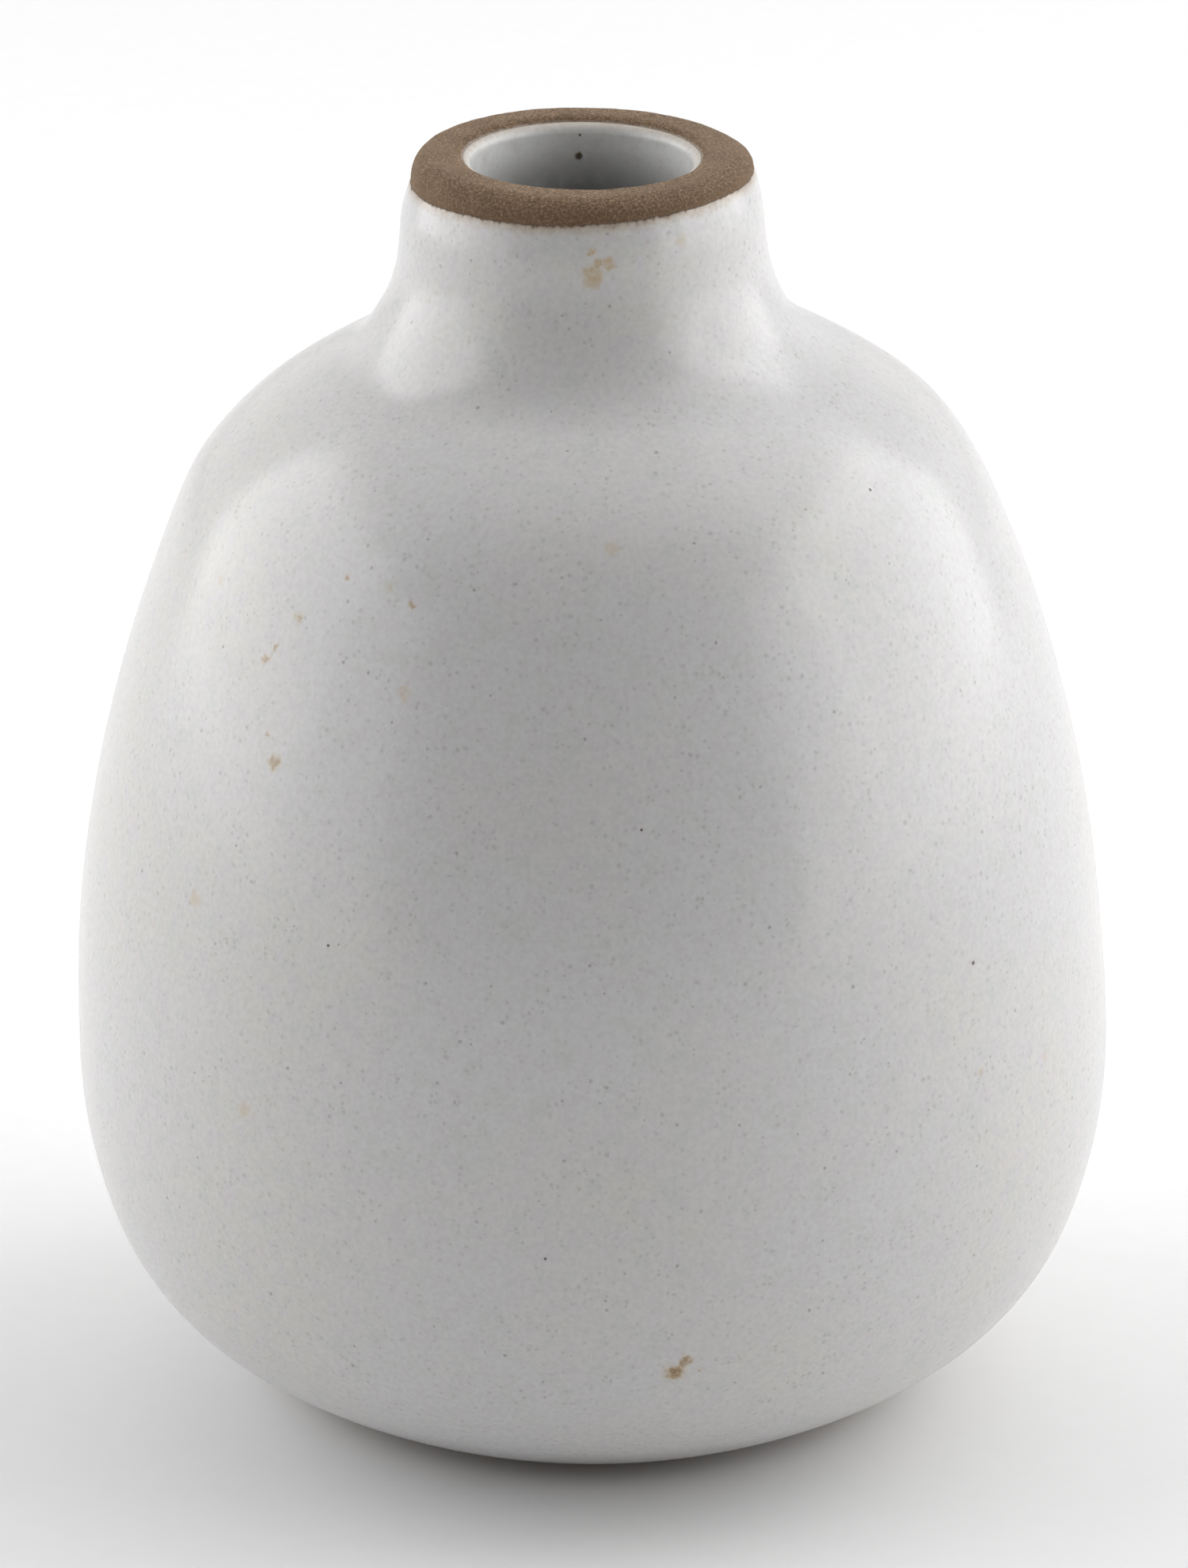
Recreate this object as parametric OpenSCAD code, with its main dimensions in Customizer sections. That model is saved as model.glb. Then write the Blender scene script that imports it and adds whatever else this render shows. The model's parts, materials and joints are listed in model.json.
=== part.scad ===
// Ceramic bud vase: a round stoneware bottle with a short neck and a small mouth.
// The clay is one thick-walled body. Its lip and foot are bare, and a glaze coat covers it outside
// from foot to lip and a second coat lines it inside.
// The origin is the centre of the foot on the plane that it stands on, and +Z runs up the axis.
//
// Each wall is a chain of arcs that run smoothly into each other, turned about the axis.
// An arc is [centre x, centre z, radius]. Its angles are those of the wall's outward normal,
// 0 level and 90 straight up. A hollow arc has a negative radius, so that adding a thickness
// to any arc's radius moves the wall outward by that much.

/* [Overall size] */
// Height from the foot to the top of the lip
height = 116.5; // [114:0.5:120]
// Diameter at the widest point, over the glaze
belly_d = 95; // [92:0.5:98]
// Diameter at the waist of the neck, over the glaze
neck_d = 31.6; // [30:0.2:33]
// Diameter of the mouth, inside the glaze
mouth_d = 20; // [18:0.2:21]

/* [Thicknesses] */
// Thickness of the clay wall and floor
wall = 4.5; // [3.5:0.1:5]
// Thickness of the glaze outside
outer_coat = 0.5; // [0.3:0.05:0.7]
// Thickness of the glaze inside
inner_coat = 0.4; // [0.3:0.05:0.6]

/* [Lower curve] */
// Radius of the wall just below the widest point
low_belly_r = 44; // [42:1:48]
// Radius of the tight turn at the heel
heel_r = 23; // [21:1:26]
// Radius of the shallow curve under the heel
base_r = 54; // [45:1:60]
// Radius of the last turn into the foot
toe_r = 8; // [7:0.5:10]
// Normal angle below level where the belly turns into the heel
low_belly_end = 19; // [16:1:22]
// Normal angle below level where the heel turns into the base
heel_end = 54; // [50:1:57]
// Normal angle below level where the base turns into the foot
base_end = 66; // [65:1:70]

/* [Upper curve] */
// Radius of the long flank above the widest point
flank_r = 134; // [125:1:145]
// Radius of the shoulder
shoulder_r = 24.5; // [22:0.5:27]
// Radius of the shallow dome between the shoulder and the neck
dome_r = 50; // [45:1:55]
// Normal angle where the flank turns into the shoulder
flank_end = 23; // [21:1:24]
// Normal angle where the shoulder turns into the dome
shoulder_end = 56; // [53:1:57]
// Radius of the hollow where the dome turns up into the neck
neck_fillet_r = 13; // [11:0.5:14]
// Radius of the neck's own slightly hollow side
neck_side_r = 80; // [60:5:100]
// Radius inside, where the bore opens into the chamber
throat_r = 11; // [9:0.5:12]

/* [Lip and foot] */
// Radius of the lip's outer edge
lip_outer_r = 2; // [1.5:0.1:2.1]
// Radius of the lip's inner edge
lip_inner_r = 1.4; // [1:0.1:1.6]
// Height of the bare clay below the top of the lip, outside
bare_lip_h = 2.1; // [2.1:0.1:4]
// Normal angle on the lip's inner edge where the glaze inside starts
inner_coat_start = 140; // [130:1:145]
// Normal angle below level where the glaze outside stops above the foot
outer_coat_stop = 65; // [60:0.5:65]
// Radius of the round front of the glaze below the lip
lip_bead_r = 9; // [5:1:12]
// Radius of the round front of the glaze above the foot
foot_bead_r = 2.5; // [1:0.5:4]
// Radius of the round front of the glaze inside the mouth
mouth_bead_r = 0.7; // [0.6:0.05:0.8]
// Radius of the recess under the foot
recess_r = 16; // [10:0.5:17]
// Depth of the recess under the foot
recess_h = 1.2; // [0.8:0.1:1.8]

/* [Hidden] */
clay_colour = [0.50, 0.41, 0.33];
glaze_colour = [0.86, 0.86, 0.85];
// Widest angle between two points on an arc
arc_step = 2;
// How far the neck's waist lies above the top of the lip
waist_above_lip = 1;
// Radius of the two turns at the side of the recess under the foot
recess_turn_r = recess_h / 2;
$fn = 180;

// Point of an arc at a normal angle
function on_arc(arc, angle) = [arc[0] + arc[2] * cos(angle), arc[1] + arc[2] * sin(angle)];

// The same arc with its wall moved outward
function grown(arc, by) = [arc[0], arc[1], arc[2] + by];

// Arc of another radius that carries on smoothly from an arc at a normal angle
function next_arc(arc, angle, radius) =
    [arc[0] + (arc[2] - radius) * cos(angle), arc[1] + (arc[2] - radius) * sin(angle), radius];

// Angle of the line from one arc's centre to another's
function bearing(a, b) = atan2(b[1] - a[1], b[0] - a[0]);

// Points along an arc between two normal angles, without the last one, which starts the next arc
function run(arc, from, to) =
    let (steps = max(4, ceil(abs(to - from) / arc_step)))
    [for (i = [0 : steps - 1]) on_arc(arc, from + (to - from) * i / steps)];

// Angle on a bare arc between the last full-thickness point of a coat and the coat's edge,
// where the coat ends in a round bead
function bead_span(arc, coat, bead_r) =
    let (c = arc[2] + coat - bead_r)
    acos((arc[2] * arc[2] + c * c - bead_r * bead_r) / (2 * arc[2] * c));

// Arc of the bead that leaves a coat's surface at a normal angle
function bead(arc, coat, angle, bead_r) = next_arc(grown(arc, coat), angle, bead_r);

// Normal angle at which a bead meets the bare arc
function bead_end(bead_arc, arc, angle) =
    let (p = on_arc(arc, angle))
    atan2(p[1] - bead_arc[1], p[0] - bead_arc[0]);

// Lower curve over the glaze, from the widest point down to the foot. The toe touches the floor.
belly_r = belly_d / 2;
low_belly_x = belly_r - low_belly_r;
heel_from_belly = next_arc([low_belly_x, 0, low_belly_r], -low_belly_end, heel_r);
base_from_belly = next_arc(heel_from_belly, -heel_end, base_r);
toe_from_belly = next_arc(base_from_belly, -base_end, toe_r);
belly_h = toe_r - toe_from_belly[1];
low_belly = [low_belly_x, belly_h, low_belly_r];
heel = next_arc(low_belly, -low_belly_end, heel_r);
base = next_arc(heel, -heel_end, base_r);
toe = next_arc(base, -base_end, toe_r);

// Upper curve over the glaze, from the widest point up to the neck
flank = [belly_r - flank_r, belly_h, flank_r];
shoulder = next_arc(flank, flank_end, shoulder_r);
dome = next_arc(shoulder, shoulder_end, dome_r);
neck = [neck_d / 2 + neck_side_r, height + waist_above_lip, -neck_side_r];

// The fillet touches both the dome and the neck, so its centre is where two circles meet:
// one round the dome's centre and one round the neck's
dome_reach = dome_r + neck_fillet_r;
neck_reach = neck_side_r - neck_fillet_r;
dome_to_neck = norm([neck[0] - dome[0], neck[1] - dome[1]]);
fillet_along = (dome_reach ^ 2 - neck_reach ^ 2 + dome_to_neck ^ 2) / (2 * dome_to_neck);
fillet_turn = acos(fillet_along / dome_reach);
fillet_bearing = bearing(dome, neck) + fillet_turn;
fillet = [
    dome[0] + dome_reach * cos(fillet_bearing),
    dome[1] + dome_reach * sin(fillet_bearing),
    -neck_fillet_r
];
dome_end = bearing(dome, fillet);
fillet_end = bearing(fillet, neck);

// Outside of the clay: the lip's outer edge touches the neck, and its top is level
clay_neck = grown(neck, -outer_coat);
neck_end = asin((waist_above_lip + lip_outer_r) / (lip_outer_r - clay_neck[2]));
lip_outer = next_arc(clay_neck, neck_end, lip_outer_r);

// Foot of the clay: the base turns down onto the floor
clay_base = grown(base, -outer_coat);
foot_turn_r = on_arc(clay_base, -base_end)[1] / (1 - sin(base_end));
foot_turn = next_arc(clay_base, -base_end, foot_turn_r);

// Inside of the clay: the bore turns out through the throat into the chamber
clay_bore_r = mouth_d / 2 + inner_coat;
lip_inner = [clay_bore_r + lip_inner_r, height - lip_inner_r, lip_inner_r];
inward = outer_coat + wall;
throat_x = clay_bore_r + throat_r;
throat_rise = sqrt((dome_r - inward + throat_r) ^ 2 - (throat_x - dome[0]) ^ 2);
throat = [throat_x, dome[1] + throat_rise, -throat_r];
throat_end = bearing(dome, throat);

// Where the coats stop on the clay, and where their beads begin
coat_top = asin((neck[1] - height + bare_lip_h) / -clay_neck[2]);
top_bead_angle = coat_top + bead_span(clay_neck, outer_coat, lip_bead_r);
top_bead = bead(clay_neck, outer_coat, top_bead_angle, lip_bead_r);
foot_bead_angle = -outer_coat_stop + bead_span(clay_base, outer_coat, foot_bead_r);
foot_bead = bead(clay_base, outer_coat, foot_bead_angle, foot_bead_r);
mouth_bead_angle = inner_coat_start + bead_span(lip_inner, inner_coat, mouth_bead_r);
mouth_bead = bead(lip_inner, inner_coat, mouth_bead_angle, mouth_bead_r);

// Outer wall from an angle on the base up to an angle on the neck, moved outward
function outer_wall(by, from, to) = concat(
    run(grown(base, by), from, -heel_end),
    run(grown(heel, by), -heel_end, -low_belly_end),
    run(grown(low_belly, by), -low_belly_end, 0),
    run(grown(flank, by), 0, flank_end),
    run(grown(shoulder, by), flank_end, shoulder_end),
    run(grown(dome, by), shoulder_end, dome_end),
    run(grown(fillet, by), dome_end, fillet_end),
    run(grown(neck, by), fillet_end, to)
);

// Wall of the chamber from the bore down to the middle of the floor, moved into the chamber
function chamber_wall(by) = concat(
    run(grown(throat, -by), 0, throat_end),
    run(grown(dome, -inward - by), throat_end, shoulder_end),
    run(grown(shoulder, -inward - by), shoulder_end, flank_end),
    run(grown(flank, -inward - by), flank_end, 0),
    run(grown(low_belly, -inward - by), 0, -low_belly_end),
    run(grown(heel, -inward - by), -low_belly_end, -heel_end),
    run(grown(base, -inward - by), -heel_end, -base_end),
    run(grown(toe, -inward - by), -base_end, -90),
    [on_arc(grown(toe, -inward - by), -90), [0, toe[1] - toe_r + inward + by]]
);

// Underside of the foot, from the middle of the recess out to the flat ring that it stands on
function recess_side() = concat(
    [[0, recess_h]],
    run([recess_r - recess_turn_r, recess_turn_r, recess_turn_r], 90, 0),
    run([recess_r + recess_turn_r, recess_turn_r, -recess_turn_r], 0, 90)
);

// The stoneware: wall, floor, bare lip and bare foot
module clay_body()
{
    outline = concat(
        recess_side(),
        [[recess_r + recess_turn_r, 0]],
        run(foot_turn, -90, -base_end),
        run(clay_base, -base_end, -outer_coat_stop),
        outer_wall(-outer_coat, -outer_coat_stop, coat_top),
        run(clay_neck, coat_top, neck_end),
        run(lip_outer, neck_end, 90),
        [on_arc(lip_outer, 90)],
        run(lip_inner, 90, inner_coat_start),
        run(lip_inner, inner_coat_start, 180),
        [on_arc(lip_inner, 180)],
        chamber_wall(0)
    );
    color(clay_colour)
        rotate_extrude() polygon(outline);
}

// The glaze outside, from just above the foot to just below the lip
module outer_glaze()
{
    foot_bead_end = bead_end(foot_bead, clay_base, -outer_coat_stop);
    top_bead_end = bead_end(top_bead, clay_neck, coat_top);
    on_clay = outer_wall(-outer_coat, -outer_coat_stop, coat_top);
    surface = concat(
        run(foot_bead, foot_bead_end, foot_bead_angle),
        outer_wall(0, foot_bead_angle, top_bead_angle),
        run(top_bead, top_bead_angle, top_bead_end),
        [on_arc(clay_neck, coat_top)]
    );
    // The bead's first point is the clay's first point too, so the clay's run starts one later
    back = [for (i = [len(on_clay) - 1 : -1 : 1]) on_clay[i]];
    color(glaze_colour)
        rotate_extrude() polygon(concat(surface, back));
}

// The glaze inside, from the lip's inner edge down the bore and over the chamber's wall and floor
module inner_glaze()
{
    mouth_bead_end = bead_end(mouth_bead, lip_inner, inner_coat_start);
    on_clay = concat(
        run(lip_inner, inner_coat_start, 180),
        [on_arc(lip_inner, 180)],
        chamber_wall(0)
    );
    surface = concat(
        run(mouth_bead, mouth_bead_end, mouth_bead_angle),
        run(grown(lip_inner, inner_coat), mouth_bead_angle, 180),
        [on_arc(grown(lip_inner, inner_coat), 180)],
        chamber_wall(inner_coat)
    );
    // Both runs start at the coat's edge on the lip, so the clay's run leaves that point out
    back = [for (i = [len(on_clay) - 1 : -1 : 1]) on_clay[i]];
    color(glaze_colour)
        rotate_extrude() polygon(concat(surface, back));
}

clay_body();
outer_glaze();
inner_glaze();
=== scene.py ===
"""Looks of the ceramic bud vase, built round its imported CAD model."""
import json
import math

import bpy
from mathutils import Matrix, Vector, noise

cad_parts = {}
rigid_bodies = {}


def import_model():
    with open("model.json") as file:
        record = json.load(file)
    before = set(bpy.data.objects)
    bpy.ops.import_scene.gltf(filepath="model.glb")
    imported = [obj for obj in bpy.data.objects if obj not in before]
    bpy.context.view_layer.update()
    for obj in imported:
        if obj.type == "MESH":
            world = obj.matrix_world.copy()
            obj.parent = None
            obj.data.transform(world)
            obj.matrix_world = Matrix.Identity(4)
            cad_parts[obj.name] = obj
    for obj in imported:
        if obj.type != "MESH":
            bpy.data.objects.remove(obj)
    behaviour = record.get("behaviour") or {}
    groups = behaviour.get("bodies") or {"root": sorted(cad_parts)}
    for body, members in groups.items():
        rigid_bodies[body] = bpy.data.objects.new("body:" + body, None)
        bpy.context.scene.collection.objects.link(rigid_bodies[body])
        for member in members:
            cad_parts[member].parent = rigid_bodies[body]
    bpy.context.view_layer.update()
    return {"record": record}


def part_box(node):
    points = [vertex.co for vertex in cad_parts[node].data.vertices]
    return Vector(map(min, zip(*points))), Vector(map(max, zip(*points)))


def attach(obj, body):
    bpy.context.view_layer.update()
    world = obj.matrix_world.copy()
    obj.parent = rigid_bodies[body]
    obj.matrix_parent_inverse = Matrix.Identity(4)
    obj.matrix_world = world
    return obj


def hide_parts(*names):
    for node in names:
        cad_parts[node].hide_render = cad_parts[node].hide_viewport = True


for leftover in list(bpy.data.objects):
    bpy.data.objects.remove(leftover)
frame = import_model()
scene = bpy.context.scene
MM = 0.001
UP = Vector((0, 0, 1))


# ---------------------------------------------------------------- driving dimensions, in millimetres
BELLY_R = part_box("outer_glaze")[1].x / MM
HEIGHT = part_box("clay_body")[1].z / MM
FLOOR_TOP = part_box("inner_glaze")[0].z / MM
MOUTH = next(m for m in frame["record"]["mounts"] if m["name"] == "mouth")
OUTER_COAT = 0.5
INNER_COAT = 0.4
BORE_R = MOUTH["dims"]["r_mm"] + INNER_COAT

# The wall is a chain of arcs, as in the CAD: each one's radius and the normal angle where it ends,
# in degrees below or above level
LOW_BELLY_R, LOW_BELLY_END = 44, -19
HEEL_R, HEEL_END = 23, -54
BASE_R, BASE_END = 54, -66
TOE_R = 8
FLANK_R, FLANK_END = 134, 23
SHOULDER_R, SHOULDER_END = 24.5, 56
DOME_R = 50
FILLET_R = 13
NECK_R, NECK_SIDE_R, WAIST_ABOVE_LIP = 15.8, 80, 1
THROAT_R = 11
LIP_OUTER_R, LIP_INNER_R = 2, 1.4
RECESS_R, RECESS_H = 16, 1.2

# Where the coats stop: a height below the lip, and normal angles on the base and in the mouth
BARE_LIP_H = 2.1
COAT_FOOT, COAT_MOUTH = -65, 140
TOP_BEAD_R, FOOT_BEAD_R, MOUTH_BEAD_R = 9, 2.5, 0.9

# Points round each piece, and how thinly the rings that glaze or clay hides are spread
BODY_AROUND, COAT_AROUND, LINING_AROUND = 560, 384, 288
HIDDEN_DENSITY = 0.13


# ---------------------------------------------------------------- arcs
# An arc is (centre radius, centre height, radius), and its angles are those of the wall's outward
# normal. A hollow arc has a negative radius, so growing any arc moves the wall outward.

def on_arc(arc, angle):
    a = math.radians(angle)
    return arc[0] + arc[2] * math.cos(a), arc[1] + arc[2] * math.sin(a)


def grown(arc, by):
    return arc[0], arc[1], arc[2] + by


def lifted(arc, by):
    return arc[0], arc[1] + by, arc[2]


def next_arc(arc, angle, radius):
    """Arc of another radius that carries on smoothly from an arc."""
    x, z = on_arc((arc[0], arc[1], arc[2] - radius), angle)
    return x, z, radius


def bearing(a, b):
    return math.degrees(math.atan2(b[1] - a[1], b[0] - a[0]))


low_belly = (BELLY_R - LOW_BELLY_R, 0, LOW_BELLY_R)
heel = next_arc(low_belly, LOW_BELLY_END, HEEL_R)
base = next_arc(heel, HEEL_END, BASE_R)
toe = next_arc(base, BASE_END, TOE_R)
belly_h = TOE_R - toe[1]
low_belly, heel, base, toe = (lifted(arc, belly_h) for arc in (low_belly, heel, base, toe))
flank = (BELLY_R - FLANK_R, belly_h, FLANK_R)
shoulder = next_arc(flank, FLANK_END, SHOULDER_R)
dome = next_arc(shoulder, SHOULDER_END, DOME_R)
neck = (NECK_R + NECK_SIDE_R, HEIGHT + WAIST_ABOVE_LIP, -NECK_SIDE_R)

# The fillet touches both the dome and the neck
dome_reach = DOME_R + FILLET_R
neck_reach = NECK_SIDE_R - FILLET_R
dome_to_neck = math.hypot(neck[0] - dome[0], neck[1] - dome[1])
along = (dome_reach ** 2 - neck_reach ** 2 + dome_to_neck ** 2) / (2 * dome_to_neck)
fillet_bearing = bearing(dome, neck) + math.degrees(math.acos(along / dome_reach))
fillet = (*on_arc((dome[0], dome[1], dome_reach), fillet_bearing), -FILLET_R)
DOME_END = bearing(dome, fillet)
FILLET_END = bearing(fillet, neck)

clay_neck = grown(neck, -OUTER_COAT)
clay_base = grown(base, -OUTER_COAT)
neck_sine = (WAIST_ABOVE_LIP + LIP_OUTER_R) / (LIP_OUTER_R - clay_neck[2])
NECK_END = math.degrees(math.asin(neck_sine))
lip_outer = next_arc(clay_neck, NECK_END, LIP_OUTER_R)
lip_inner = (BORE_R + LIP_INNER_R, HEIGHT - LIP_INNER_R, LIP_INNER_R)
foot_turn_r = on_arc(clay_base, BASE_END)[1] / (1 + math.sin(math.radians(BASE_END)))
foot_turn = next_arc(clay_base, BASE_END, foot_turn_r)
throat_run = BORE_R + THROAT_R - dome[0]
throat_rise = math.sqrt((DOME_R - FLOOR_TOP + THROAT_R) ** 2 - throat_run ** 2)
throat = (BORE_R + THROAT_R, dome[1] + throat_rise, -THROAT_R)
THROAT_END = bearing(dome, throat)


# ---------------------------------------------------------------- outlines
# A station is (radius, height, normal angle, finish). The finish says what the surface is there.

def run(arc, start, end, steps, finish):
    """Stations along an arc, without the last one, which starts the next arc."""
    angles = [start + (end - start) * i / steps for i in range(steps)]
    return [(*on_arc(arc, angle), angle, finish) for angle in angles]


def thinned(steps, density):
    return max(2, round(steps * density))


def chain(stretches, density, finish):
    """Stations along arcs that run into each other: each one's arc, start, end and steps at density 1."""
    stations = []
    for arc, start, end, steps in stretches:
        stations += run(arc, start, end, thinned(steps, density), finish)
    return stations


def flat(start, end, steps, angle, finish):
    """Stations along a straight stretch between two (radius, height) points, without the last one."""
    a, b = Vector(start), Vector(end)
    return [(*a.lerp(b, i / steps), angle, finish) for i in range(steps)]


def bead(arc, coat, bead_r, edge):
    """The round front of a coat that stops at the edge angle: its arc, and its start and end."""
    across = arc[2] + coat - bead_r
    cosine = (arc[2] ** 2 + across ** 2 - bead_r ** 2) / (2 * arc[2] * across)
    start = edge + math.degrees(math.acos(cosine))
    front = next_arc(grown(arc, coat), start, bead_r)
    return front, start, bearing(front, on_arc(arc, edge))


def outer_wall(by, start, end, density, finish):
    """The outside from an angle on the base up to an angle on the neck, moved outward."""
    stretches = [
        (grown(base, by), start, HEEL_END, 12),
        (grown(heel, by), HEEL_END, LOW_BELLY_END, 18),
        (grown(low_belly, by), LOW_BELLY_END, 0, 18),
        (grown(flank, by), 0, FLANK_END, 64),
        (grown(shoulder, by), FLANK_END, SHOULDER_END, 22),
        (grown(dome, by), SHOULDER_END, DOME_END, 8),
        (grown(fillet, by), DOME_END, FILLET_END, 24),
        (grown(neck, by), FILLET_END, end, 10),
    ]
    return chain(stretches, density, finish)


def chamber_wall(by, density, finish):
    """The inside from the foot of the bore down to the middle of the floor, moved inward."""
    inset = -FLOOR_TOP - by
    floor_h = FLOOR_TOP + by
    stretches = [
        (grown(throat, -by), 0, THROAT_END, 20),
        (grown(dome, inset), THROAT_END, SHOULDER_END, 8),
        (grown(shoulder, inset), SHOULDER_END, FLANK_END, 14),
        (grown(flank, inset), FLANK_END, 0, 24),
        (grown(low_belly, inset), 0, LOW_BELLY_END, 8),
        (grown(heel, inset), LOW_BELLY_END, HEEL_END, 12),
        (grown(base, inset), HEEL_END, BASE_END, 8),
        (grown(toe, inset), BASE_END, -90, 5),
    ]
    return (
        chain(stretches, density, finish)
        + flat((toe[0], floor_h), (0, floor_h), thinned(10, density), 90, finish)
        + [(0, floor_h, 90, finish)]
    )


def lining_back():
    """The clay's bore and chamber from the inner glaze's edge down, where the coat lies on it."""
    return (
        run(lip_inner, COAT_MOUTH, 180, 4, "hidden")
        + flat(on_arc(lip_inner, 180), (BORE_R, throat[1]), 4, 0, "hidden")
        + chamber_wall(0, HIDDEN_DENSITY, "hidden")
    )


def line_angle(drop):
    """Normal angle on the bare neck where the outer glaze stops, for a line that lies lower by drop."""
    return math.degrees(math.asin((WAIST_ABOVE_LIP + BARE_LIP_H + drop) / -clay_neck[2]))


def clay_outline(drop):
    edge = line_angle(drop)
    rounding = RECESS_H / 2
    return (
        flat((0, RECESS_H), (RECESS_R - rounding, RECESS_H), 12, -90, "foot")
        + run((RECESS_R - rounding, rounding, rounding), 90, 0, 5, "foot")
        + run((RECESS_R + rounding, rounding, -rounding), 0, 90, 5, "foot")
        + flat((RECESS_R + rounding, 0), (foot_turn[0], 0), 12, -90, "foot")
        + run(foot_turn, -90, BASE_END, 12, "foot")
        + run(clay_base, BASE_END, COAT_FOOT, 3, "foot")
        + outer_wall(-OUTER_COAT, COAT_FOOT, edge, HIDDEN_DENSITY, "hidden")
        + run(clay_neck, edge, NECK_END, 2, "lip")
        + run(lip_outer, NECK_END, 90, 34, "lip")
        + flat(on_arc(lip_outer, 90), on_arc(lip_inner, 90), 16, 90, "lip")
        + run(lip_inner, 90, COAT_MOUTH, 12, "lip")
        + lining_back()
    )


def outer_glaze_outline(drop):
    edge = line_angle(drop)
    top, top_start, top_end = bead(clay_neck, OUTER_COAT, TOP_BEAD_R, edge)
    low, low_start, low_end = bead(clay_base, OUTER_COAT, FOOT_BEAD_R, COAT_FOOT)
    back = outer_wall(-OUTER_COAT, COAT_FOOT, edge, HIDDEN_DENSITY, "hidden")[1:]
    return (
        run(low, low_end, low_start, 8, "glaze")
        + outer_wall(0, low_start, top_start, 1, "glaze")
        + run(top, top_start, top_end, 16, "glaze")
        + [(*on_arc(clay_neck, edge), edge, "glaze")]
        + back[::-1]
    )


def inner_glaze_outline():
    front, start, end = bead(lip_inner, INNER_COAT, MOUTH_BEAD_R, COAT_MOUTH)
    coat_r = BORE_R - INNER_COAT
    return (
        run(front, end, start, 8, "lining")
        + run(grown(lip_inner, INNER_COAT), start, 180, 4, "lining")
        + flat((coat_r, lip_inner[1]), (coat_r, throat[1]), 16, 0, "lining")
        + chamber_wall(INNER_COAT, 1, "lining")
        + lining_back()[:0:-1]
    )


# ---------------------------------------------------------------- the hand in the shape
# About the lowest that the glaze line on the neck lies before the hand's unevenness
LINE_H = 114.2


def smooth(value, low, high):
    t = min(1, max(0, (value - low) / (high - low)))
    return t * t * (3 - 2 * t)


def lean(z):
    """How far the vase's axis lies to the right of the foot's centre at a height."""
    return (
        -0.3 * smooth(z, 30, 48)
        - 0.12 * smooth(z, 77, 83)
        + 0.42 * smooth(z, 86, 93)
        - 0.8 * smooth(z, 97.5, 102)
        - 0.18 * smooth(z, 104, 112)
    )


def handmade(point):
    """Where a point of the true turned shape lies on the real vase, which is slightly uneven."""
    r = math.hypot(point.x, point.y)
    across = point.x / r if r else 0
    # Slimmer where the neck meets the shoulder, and at the lip
    junction = smooth(point.z, 91, 97) * (1 - smooth(point.z, 101, 106))
    girth = 1 - 0.008 * junction - 0.013 * smooth(point.z, 110.5, 113.5)
    # The top of the neck tips down to the right
    tilt = -0.006 * point.x * smooth(point.z, 104, 113)
    # The glaze line outside is higher on the right than on the left
    near_line = smooth(point.z, 107, LINE_H) * (1 - smooth(point.z, LINE_H, HEIGHT)) * smooth(r, 12, 14.5)
    rise = (0.2 + 0.7 * across) * near_line
    return Vector((point.x * girth + lean(point.z), point.y * girth, point.z + tilt + rise))


def waves(point, size):
    """Smooth noise from -1 to 1 with waves of a size in millimetres."""
    return noise.noise(point / size, noise_basis="PERLIN_NEW")


def line_drop(azimuth):
    """How far the wavering glaze line lies below the foot of the bare lip at an azimuth, in radians."""
    way = Vector((math.cos(azimuth), math.sin(azimuth), 0))
    waver = 0.16 * waves(way, 0.43) + 0.09 * waves(way, 0.11) + 0.05 * waves(way, 0.033)
    return max(-0.08, 0.06 + waver)


def relief(point, finish):
    """How far the surface stands out of the smooth shape."""
    if finish == "glaze":
        calm = smooth(point.z, 3, 12) * (1 - smooth(point.z, 108, 113))
        return calm * (0.06 * waves(point, 18) + 0.012 * waves(point, 3.3))
    if finish == "lining":
        return 0.04 * waves(point, 8) * (1 - smooth(point.z, 110, 114))
    if finish == "lip":
        calm = smooth(point.z, 114.6, 115) * smooth(math.hypot(point.x, point.y), 10.8, 11.2)
        return calm * (0.02 * waves(point, 0.36) + 0.015 * waves(point, 0.8) + 0.05 * waves(point, 2.9))
    if finish == "foot":
        return min(0, 0.02 * waves(point, 0.7) - 0.01) * (1 - smooth(point.z, 0.7, 1.1))
    return 0


# ---------------------------------------------------------------- meshes
FOOT_LINE_H = on_arc(clay_base, COAT_FOOT)[1]
MOUTH_LINE_R, MOUTH_LINE_H = on_arc(lip_inner, COAT_MOUTH)


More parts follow.
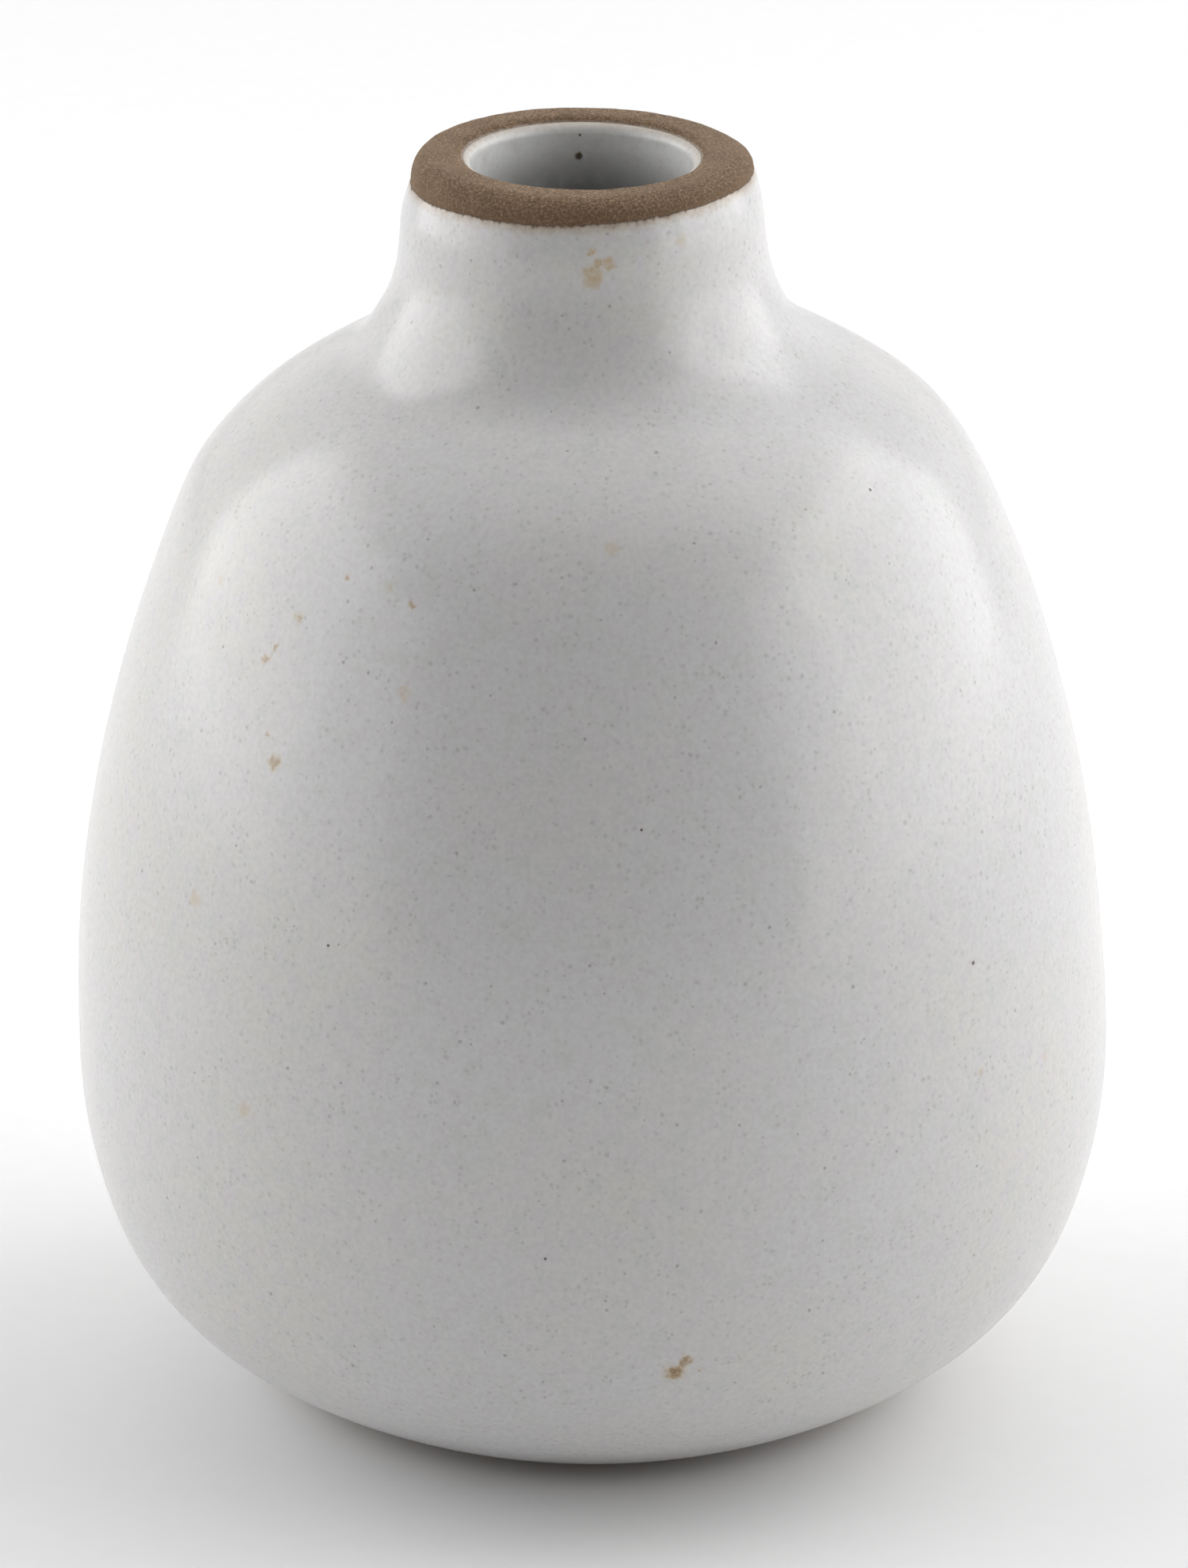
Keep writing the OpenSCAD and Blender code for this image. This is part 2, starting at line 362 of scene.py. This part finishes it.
def turned(name, outlines, line_heights):
    """
    Closed mesh of one outline per azimuth, whose last point meets its first, straight or along the
    axis. Its attributes say how far each point lies inside the glazed stretch of wall, and from the
    inner glaze's edge, in millimetres.
    """
    around = len(outlines)
    along = len(outlines[0])
    on_axis = [station[0] == 0 for station in outlines[0]]
    points, starts = [], []
    inside_glaze, from_mouth = [], []
    for i in range(along):
        starts.append(len(points))
        for j in range(1 if on_axis[i] else around):
            r, z, angle, finish = outlines[j][i]
            azimuth = 2 * math.pi * j / around
            level = math.radians(angle)
            way = Vector((math.cos(azimuth), math.sin(azimuth), 0))
            point = way * r + UP * z
            normal = way * math.cos(level) + UP * math.sin(level)
            points.append(handmade(point + normal * relief(point, finish)) * MM)
            inside_glaze.append(min(line_heights[j] - z, z - FOOT_LINE_H))
            from_mouth.append(math.hypot(r - MOUTH_LINE_R, z - MOUTH_LINE_H))
    faces = []
    for i in range(along):
        here, there = starts[i], starts[(i + 1) % along]
        if on_axis[i] and on_axis[(i + 1) % along]:
            continue
        for j in range(around):
            k = (j + 1) % around
            if on_axis[i]:
                faces.append((here, there + k, there + j))
            elif on_axis[(i + 1) % along]:
                faces.append((here + j, here + k, there))
            else:
                faces.append((here + j, here + k, there + k, there + j))
    mesh = bpy.data.meshes.new(name)
    mesh.from_pydata(points, [], faces)
    mesh.shade_smooth()
    mesh.attributes.new("inside_glaze", "FLOAT", "POINT").data.foreach_set("value", inside_glaze)
    mesh.attributes.new("from_mouth", "FLOAT", "POINT").data.foreach_set("value", from_mouth)
    piece = bpy.data.objects.new(name, mesh)
    scene.collection.objects.link(piece)
    return piece


def lined(name, outline, around):
    """A piece that follows the wavering glaze line on the neck."""
    drops = [line_drop(2 * math.pi * j / around) for j in range(around)]
    line_heights = [on_arc(clay_neck, line_angle(drop))[1] for drop in drops]
    return turned(name, [outline(drop) for drop in drops], line_heights)


body = lined("stoneware", clay_outline, BODY_AROUND)
coat = lined("glaze_outside", outer_glaze_outline, COAT_AROUND)
lining = turned("glaze_inside", [inner_glaze_outline()] * LINING_AROUND, [MOUTH_LINE_H] * LINING_AROUND)

for piece, node, slot in (
    (body, "clay_body", "bare_stoneware"),
    (coat, "outer_glaze", "outer_glaze"),
    (lining, "inner_glaze", "inner_glaze"),
):
    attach(piece, "root")
    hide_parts(node)


# ---------------------------------------------------------------- materials
class Recipe:
    """One material's nodes. An argument may be a number, a colour or another node's output."""

    # More radii away than any mask reaches
    FAR = 9.0

    def __init__(self, name, **settings):
        self.material = bpy.data.materials.new(name)
        self.material.use_nodes = True
        self.tree = self.material.node_tree
        self.shader = self.tree.nodes["Principled BSDF"]
        for socket, value in settings.items():
            self.shader.inputs[socket.replace("_", " ")].default_value = value
        place = self.tree.nodes.new("ShaderNodeTexCoord").outputs["Object"]
        self.place = self.vector("SCALE", place, Scale=1 / MM)

    def add(self, kind, inputs, **settings):
        node = self.tree.nodes.new(kind)
        for setting, value in settings.items():
            setattr(node, setting, value)
        for socket, value in inputs.items():
            self.feed(node.inputs[socket], value)
        return node

    def feed(self, socket, value):
        if isinstance(value, bpy.types.NodeSocket):
            self.tree.links.new(value, socket)
        else:
            socket.default_value = value

    def vector(self, operation, a, b=(0, 0, 0), **inputs):
        node = self.add("ShaderNodeVectorMath", {0: a, 1: b, **inputs}, operation=operation)
        return node.outputs["Value" if operation == "DISTANCE" else "Vector"]

    def math(self, operation, a, b=0.0):
        return self.add("ShaderNodeMath", {0: a, 1: b}, operation=operation).outputs[0]

    def times(self, a, b):
        return self.math("MULTIPLY", a, b)

    def step(self, value, low, high, start=0.0, end=1.0):
        """From start to end, smoothly, as a value goes from low to high."""
        inputs = {"Value": value, "From Min": low, "From Max": high, "To Min": start, "To Max": end}
        node = self.add("ShaderNodeMapRange", inputs, interpolation_type="SMOOTHSTEP")
        return node.outputs["Result"]

    def blend(self, factor, a, b, kind="MIX"):
        node = self.add("ShaderNodeMix", {"Factor": factor}, data_type="RGBA", blend_type=kind)
        colour_a, colour_b = (socket for socket in node.inputs if socket.type == "RGBA")
        self.feed(colour_a, a)
        self.feed(colour_b, b)
        return next(socket for socket in node.outputs if socket.type == "RGBA")

    def grain(self, size, place=None, shift=0, detail=2.0):
        """Noise from 0 to 1 with features of a size in millimetres."""
        place = self.vector("ADD", place or self.place, (shift, shift, shift))
        inputs = {"Vector": place, "Scale": 1 / size, "Detail": detail}
        return self.add("ShaderNodeTexNoise", inputs).outputs["Fac"]

    def ruffled(self, size, by):
        """The place, pushed about by noise, so that what is drawn from it gets a ragged edge."""
        inputs = {"Vector": self.place, "Scale": 1 / size, "Detail": 3.0}
        colour = self.add("ShaderNodeTexNoise", inputs).outputs["Color"]
        push = self.vector("SUBTRACT", colour, (0.5, 0.5, 0.5))
        return self.vector("ADD", self.place, self.vector("SCALE", push, Scale=by))

    def dots(self, spacing, smallest, largest, share, place=None, soft=0.1):
        """A mask of scattered dots: their mean distance apart, radii, and the share of places filled."""
        inputs = {"Vector": place or self.place, "Scale": 1 / spacing}
        cell = self.add("ShaderNodeTexVoronoi", inputs)
        draw = self.add("ShaderNodeSeparateColor", {"Color": cell.outputs["Color"]}).outputs
        size = self.step(draw["Red"], 0, 1, smallest / spacing, largest / spacing)
        mask = self.step(self.math("DIVIDE", cell.outputs["Distance"], size), soft, 1, 1, 0)
        return self.times(mask, self.math("LESS_THAN", draw["Green"], share))

    def nearest(self, spots, place):
        """Distance to the nearest of some spots, each a (centre, radius): 0 inside and 1 at its rim."""
        nearest = self.FAR
        for centre, radius in spots:
            away = self.times(self.vector("DISTANCE", place, centre), 1 / radius)
            nearest = self.math("MINIMUM", away, nearest)
        return nearest

    def grey(self, value):
        return self.add("ShaderNodeCombineColor", {"Red": value, "Green": value, "Blue": value}).outputs[0]

    def attribute(self, name):
        """One of the mesh's distances, in millimetres: inside_glaze or from_mouth."""
        return self.add("ShaderNodeAttribute", {}, attribute_name=name).outputs["Fac"]

    def bump(self, height, depth, onto=None):
        """Surface detail of a depth in millimetres. Depth is drawn at full strength."""
        node = self.add("ShaderNodeBump", {"Height": height, "Distance": depth * MM})
        if onto:
            self.feed(node.inputs["Normal"], onto)
        return node.outputs["Normal"]

    def finish(self, colour, roughness, normal):
        self.feed(self.shader.inputs["Base Color"], colour)
        self.feed(self.shader.inputs["Roughness"], roughness)
        self.feed(self.shader.inputs["Normal"], normal)
        return self.material


def on_wall(azimuth, height):
    """Point on the outside at an azimuth, 0 towards the camera and 90 to its right, and a height."""
    wall = outer_wall(0, COAT_FOOT, line_angle(0), 1, "glaze")
    r = min(wall, key=lambda station: abs(station[1] - height))[0]
    turn = math.radians(azimuth)
    return handmade(Vector((r * math.sin(turn), -r * math.cos(turn), height)))


def spots_at(places):
    """Spots for Recipe.nearest from (azimuth, height, radius) on the outside."""
    return [(on_wall(azimuth, height), radius) for azimuth, height, radius in places]


# Iron stains in the glaze: how strong the tan is, how brown the core, and each one's azimuth, height
# and radius. The last one or three of each kind are at the far sides and the back.
STAINS = [
    (0.4, 0, [
        (33, 112, 0.8), (3, 91, 1), (-29, 87, 0.6), (-60, 83, 0.8), (-50, 57, 1), (59, 40, 0.8),
        (47, 42, 0.6), (-40, 40, 1), (-24, 79, 1), (170, 40, 1.2), (105, 104, 0.9), (-100, 85, 0.8),
    ]),
    (0.8, 0.1, [(3, 110, 1.4), (5, 111, 0.6), (8, 111, 0.8), (3, 112, 0.5), (160, 108, 0.8)]),
    (0.65, 0.45, [
        (-42, 83, 0.9), (-45, 80, 0.6), (-46, 79, 0.7), (-41, 71, 1), (-43, 73, 0.5), (-36, 87, 0.6),
        (-25, 86, 0.5), (140, 62, 0.9), (152, 60, 0.5), (-165, 90, 0.8),
    ]),
    (0.85, 0.85, [(9, 19, 1.4), (10, 20, 0.9), (12, 19, 0.3), (-120, 30, 1.1)]),
]
# Pinholes in the glaze: azimuth, height and radius. The last three are at the far sides and the back.
PINHOLES = [
    (8, 113.5, 0.35), (47, 52, 0.3), (50, 92, 0.2), (6, 69, 0.2), (-30, 57, 0.2), (-5, 31, 0.2),
    (160, 75, 0.25), (-140, 50, 0.25), (120, 35, 0.25),
]
# The same on the far side of the mouth, as places inside the bore
MOUTH_STAINS = [(Vector((-1.3, 9.9, 113)), 0.6)]
MOUTH_PINHOLES = [(Vector((-1.3, 9.9, 113)), 0.5), (Vector((-1.2, 9.9, 115)), 0.2)]

GLAZE_TONE = (0.55, 0.546, 0.55, 1)
GLAZE_WARM = (0.56, 0.545, 0.525, 1)
GLAZE_ROSY = (0.55, 0.525, 0.54, 1)
GLAZE_GREEN = (0.525, 0.535, 0.52, 1)
SPECKLE = (0.27, 0.25, 0.235, 1)
SPECKLE_DARK = (0.16, 0.14, 0.12, 1)
STAIN_HALO = (0.48, 0.365, 0.215, 1)
STAIN = (0.22, 0.14, 0.055, 1)
PINHOLE = (0.1, 0.08, 0.065, 1)
# The lining's colour: painted light at the mouth, and painted shade deeper down the bore
LINING_PAINTED_LIGHT = (0.7, 0.7, 0.69, 1)
LINING_PAINTED_SHADE = (0.26, 0.26, 0.25, 1)
GLAZE_THIN = (0.43, 0.37, 0.31, 1)
# Roughness of the glaze, and what its dry edge adds. The renderer's denoiser draws faint contour lines
# where the roughness crosses about 0.27.
GLAZE_GLOSSIEST, GLAZE_DULLEST, DRY_EDGE = 0.205, 0.265, 0.45
CLAY_TONE = (0.185, 0.12, 0.071, 1)
CLAY_DARK = (0.08, 0.048, 0.027, 1)
CLAY_LIGHT = (0.38, 0.27, 0.175, 1)
CLAY_DUST = (1, 0.82, 0.64, 1)
CLAY_AT_LINE = (0.13, 0.08, 0.045, 1)
# Pale clay by the inner glaze's edge: thin glaze wash, partly a painted highlight
CLAY_WASH_AND_PAINTED_HIGHLIGHT = (0.36, 0.31, 0.26, 1)
QUARTZ = (0.62, 0.55, 0.46, 1)


def stained(recipe, colour, spots, strength, core):
    """The colour with ragged tan stains, whose middle is browner as core goes from 0 to 1."""
    nearest = recipe.nearest(spots, recipe.ruffled(0.8, 1.5))
    patchy = recipe.step(recipe.grain(0.5, shift=90, detail=4.0), 0.3, 0.55, 0.55, 1)
    halo = recipe.times(recipe.step(nearest, 0.3, 1, strength, 0), patchy)
    colour = recipe.blend(halo, colour, STAIN_HALO)
    middle = recipe.times(recipe.step(nearest, 0.2, 0.75, core, 0), patchy)
    return recipe.blend(middle, colour, STAIN)


def speckled(recipe, colour, strength):
    """The colour with mottling and the fine iron speckle of the glaze."""
    rosy = recipe.step(recipe.grain(1.5, shift=30), 0.45, 0.7, 0, strength)
    colour = recipe.blend(rosy, colour, GLAZE_ROSY)
    green = recipe.step(recipe.grain(2.2, shift=45), 0.5, 0.75, 0, strength)
    colour = recipe.blend(green, colour, GLAZE_GREEN)
    mottle = recipe.step(recipe.grain(0.5, shift=60, detail=3.0), 0.3, 0.7, 1 - 0.08 * strength, 1.0)
    colour = recipe.blend(1.0, colour, recipe.grey(mottle), "MULTIPLY")
    clusters = recipe.step(recipe.grain(2.5, shift=240), 0.3, 0.7, 0.3, 1)
    fine = recipe.dots(0.6, 0.14, 0.34, 0.6, recipe.ruffled(0.5, 0.5), soft=0)
    fine = recipe.times(fine, recipe.times(clusters, 0.5 * strength))
    colour = recipe.blend(fine, colour, SPECKLE)
    coarse = recipe.dots(1.9, 0.12, 0.28, 0.65, recipe.ruffled(0.3, 0.3))
    return recipe.blend(recipe.times(coarse, 0.6 * strength), colour, SPECKLE_DARK)


def glaze_surface(recipe, colour, holes, cover):
    """Satin gloss with faint orange peel and sunk pinholes, dry where the glaze thins over clay."""
    roughness = recipe.step(recipe.grain(9, shift=150), 0.3, 0.7, GLAZE_GLOSSIEST, GLAZE_DULLEST)
    roughness = recipe.math("ADD", roughness, recipe.step(cover, 0, 1, DRY_EDGE, 0))
    peel = recipe.bump(recipe.grain(1.7, shift=180), 0.012)
    pits = recipe.bump(recipe.math("SUBTRACT", 1.0, holes), 0.05, peel)
    return recipe.finish(colour, roughness, pits)


def outer_glaze():
    """Satin white glaze, stained here and there, that thins over the clay in a ragged line."""
    recipe = Recipe("outer_glaze", Specular_IOR_Level=0.5, IOR=1.5)
    colour = recipe.blend(recipe.step(recipe.grain(22), 0.35, 0.7), GLAZE_TONE, GLAZE_WARM)
    colour = speckled(recipe, colour, 1)
    for strength, core, places in STAINS:
        colour = stained(recipe, colour, spots_at(places), strength, core)
    pinholes = recipe.nearest(spots_at(PINHOLES), recipe.ruffled(0.3, 0.15))
    holes = recipe.step(pinholes, 0.3, 1, 1, 0)
    colour = recipe.blend(holes, colour, PINHOLE)
    wander = recipe.times(recipe.grain(0.5, shift=120, detail=5.0), 1.2)
    thickness = recipe.math("SUBTRACT", recipe.attribute("inside_glaze"), wander)
    colour = recipe.blend(recipe.step(thickness, -0.5, 0.5), GLAZE_THIN, colour)
    cover = recipe.step(thickness, -0.75, -0.25)
    return glaze_surface(recipe, recipe.blend(cover, CLAY_AT_LINE, colour), holes, cover)


def inner_glaze():
    """The same glaze on the inside, less speckled, with painted light at the mouth and painted shade
    further down the bore.
    """
    recipe = Recipe("inner_glaze", Specular_IOR_Level=0.5, IOR=1.5)
    depth = recipe.attribute("inside_glaze")
    # Painted shade: the lining darkens from painted light at the mouth to painted shade deeper down
    colour = speckled(recipe, recipe.blend(recipe.step(depth, 1, 7.5), LINING_PAINTED_LIGHT, LINING_PAINTED_SHADE), 0.4)
    colour = stained(recipe, colour, MOUTH_STAINS, 1, 1)
    pinholes = recipe.nearest(MOUTH_PINHOLES, recipe.ruffled(0.3, 0.2))
    holes = recipe.step(pinholes, 0.3, 1, 1, 0)
    colour = recipe.blend(holes, colour, PINHOLE)
    wander = recipe.times(recipe.grain(0.4, shift=120, detail=4.0), 0.6)
    cover = recipe.step(recipe.math("SUBTRACT", depth, wander), -0.6, 0.5)
    return glaze_surface(recipe, recipe.blend(cover, GLAZE_THIN, colour), holes, cover)


def bare_clay():
    """Sandy brown stoneware with pale and dark grains, darker where the outer glaze begins."""
    recipe = Recipe("bare_stoneware", Specular_IOR_Level=0.3, Sheen_Weight=0.06, Sheen_Tint=CLAY_DUST)
    sand = recipe.grain(0.2, detail=3.0)
    colour = recipe.blend(recipe.step(sand, 0.2, 0.65), CLAY_DARK, CLAY_TONE)
    colour = recipe.blend(recipe.step(sand, 0.45, 0.9), colour, CLAY_LIGHT)
    cloud = recipe.step(recipe.grain(3.5, shift=40), 0.3, 0.7, 0.88, 1.04)
    colour = recipe.blend(1.0, colour, recipe.grey(cloud), "MULTIPLY")
    aside = recipe.vector("ADD", recipe.place, (7, 7, 7))
    for grains, tone in (
        (recipe.dots(0.65, 0.08, 0.2, 0.6), CLAY_LIGHT),
        (recipe.dots(2.3, 0.1, 0.22, 0.5), QUARTZ),
        (recipe.dots(1.3, 0.1, 0.26, 0.6, aside), CLAY_DARK),
    ):
        colour = recipe.blend(recipe.times(grains, 0.6), colour, tone)
    wander = recipe.times(recipe.grain(0.5, shift=70), 0.8)
    line_side = recipe.math("ADD", recipe.attribute("inside_glaze"), wander)
    colour = recipe.blend(recipe.step(line_side, -2.2, 0.6, 0, 0.6), colour, CLAY_AT_LINE)
    mouth_side = recipe.math("ADD", recipe.attribute("from_mouth"), recipe.times(wander, 0.5))
    # Thin glaze wash and painted highlight: a pale, glossier band on the clay along the inner glaze's edge
    wash_and_painted_highlight = recipe.step(mouth_side, 0.1, 0.5, 0.8, 0)
    colour = recipe.blend(wash_and_painted_highlight, colour, CLAY_WASH_AND_PAINTED_HIGHLIGHT)
    rough = recipe.step(sand, 0.3, 0.7, 0.95, 0.85)
    rough = recipe.math("SUBTRACT", rough, recipe.times(wash_and_painted_highlight, 0.5))
    return recipe.finish(colour, rough, recipe.bump(sand, 0.03))


body.data.materials.append(bare_clay())
coat.data.materials.append(outer_glaze())
lining.data.materials.append(inner_glaze())


# ---------------------------------------------------------------- camera
CAMERA_AWAY = 650
CAMERA_ELEVATION = 22
LOOK_AT = Vector((0.08, 0, 56.26))
LENS = 163.2

rise = math.radians(CAMERA_ELEVATION)
away = Vector((0, -math.cos(rise), math.sin(rise))) * CAMERA_AWAY
camera_data = bpy.data.cameras.new("camera")
camera_data.lens = LENS
camera = bpy.data.objects.new("camera", camera_data)
camera.location = (LOOK_AT + away) * MM
camera.rotation_euler = (-away).to_track_quat("-Z", "Y").to_euler()
scene.collection.objects.link(camera)
scene.camera = camera


# ---------------------------------------------------------------- floor and light
def paper():
    """Matt white paper."""
    recipe = Recipe("floor_paper", Specular_IOR_Level=0.2)
    fibre = recipe.step(recipe.grain(3), 0.2, 0.8, 0.855, 0.865)
    return recipe.finish(recipe.grey(fibre), 0.8, recipe.bump(recipe.grain(0.5), 0.005))


FLOOR_REACH = 3
corners = [(-1, -1), (1, -1), (1, 1), (-1, 1)]
floor_mesh = bpy.data.meshes.new("floor")
floor_mesh.from_pydata([(x * FLOOR_REACH, y * FLOOR_REACH, 0) for x, y in corners], [], [(0, 1, 2, 3)])
floor = bpy.data.objects.new("floor", floor_mesh)
floor_mesh.materials.append(paper())
scene.collection.objects.link(floor)


def soft_light(name, azimuth, elevation, distance, width, height, radiance):
    """A soft light that faces the vase. Azimuth 0 is the camera's side, and 90 is its right."""
    turn, lift = math.radians(azimuth), math.radians(elevation)
    data = bpy.data.lights.new(name, "AREA")
    data.shape = "RECTANGLE"
    data.size, data.size_y = width, height
    data.energy = math.pi * width * height * radiance
    light = bpy.data.objects.new(name, data)
    way = Vector((math.sin(turn) * math.cos(lift), -math.cos(turn) * math.cos(lift), math.sin(lift)))
    light.location = way * distance + LOOK_AT * MM
    light.rotation_euler = (-way).to_track_quat("-Z", "Y").to_euler()
    scene.collection.objects.link(light)


# Azimuth, elevation, distance, width and height in metres, and radiance
SOFTBOXES = {
    "softbox_left": (-100, 22, 1.1, 1.2, 1.0, 2.45),
    "softbox_right": (98, 22, 1.1, 1.3, 1.05, 2.3),
    "softbox_right_high": (110, 52, 1.3, 1.2, 0.8, 1.0),
    "strip_left": (-60, 12, 1.2, 0.5, 0.9, 1.4),
    "strip_right": (60, 12, 1.2, 0.5, 0.9, 1.9),
    "overhead": (180, 88, 1.3, 1.0, 1.0, 0.3),
}
for name, placing in SOFTBOXES.items():
    soft_light(name, *placing)


def studio_walls():
    """White walls behind the vase that darken to black towards the camera's side of the room."""
    world = bpy.data.worlds.new("studio")
    world.use_nodes = True
    tree = world.node_tree
    way = tree.nodes.new("ShaderNodeTexCoord").outputs["Generated"]
    split = tree.nodes.new("ShaderNodeSeparateXYZ")
    shade = tree.nodes.new("ShaderNodeMapRange")
    shade.interpolation_type = "SMOOTHSTEP"
    shade.inputs["From Min"].default_value = -0.6
    shade.inputs["From Max"].default_value = 0.6
    tree.links.new(way, split.inputs[0])
    tree.links.new(split.outputs["Y"], shade.inputs["Value"])
    tree.links.new(shade.outputs["Result"], tree.nodes["Background"].inputs["Color"])
    return world


scene.world = studio_walls()
scene.view_settings.view_transform = "Standard"
